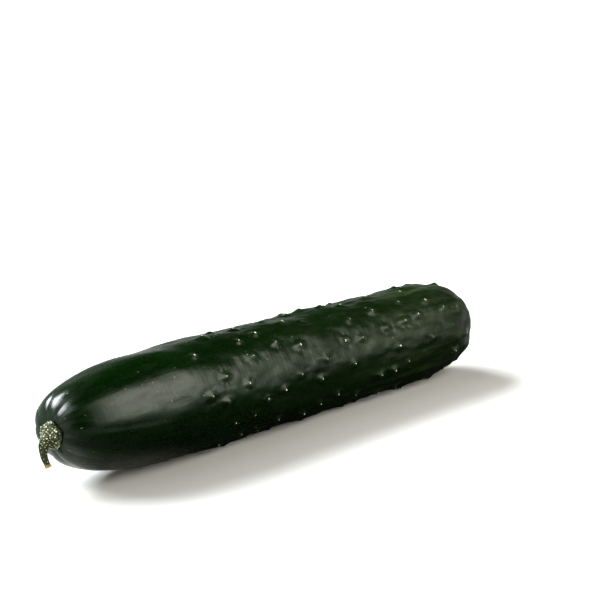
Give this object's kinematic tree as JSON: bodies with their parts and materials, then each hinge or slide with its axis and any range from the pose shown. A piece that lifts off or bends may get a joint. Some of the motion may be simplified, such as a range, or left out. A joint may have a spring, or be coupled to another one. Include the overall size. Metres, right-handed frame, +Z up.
{
  "type": "cucumber",
  "caption": "Whole slicing cucumber lying on its side, with warty dark green skin and a short drooping stub of its stalk.",
  "frame": {"origin": "middle of the whole part's box seen from above, on the surface that it lies on", "axes": "+X along the fruit from its stalk end to its blossom end, +Z up"},
  "size_m": [0.24, 0.046, 0.0449],
  "materials": {
    "skin": "glossy, waxy",
    "stalk": "dull, warty"
  },
  "bodies": {
    "root": {"fruit": "skin", "stalk": "stalk"}
  },
  "joints": []
}
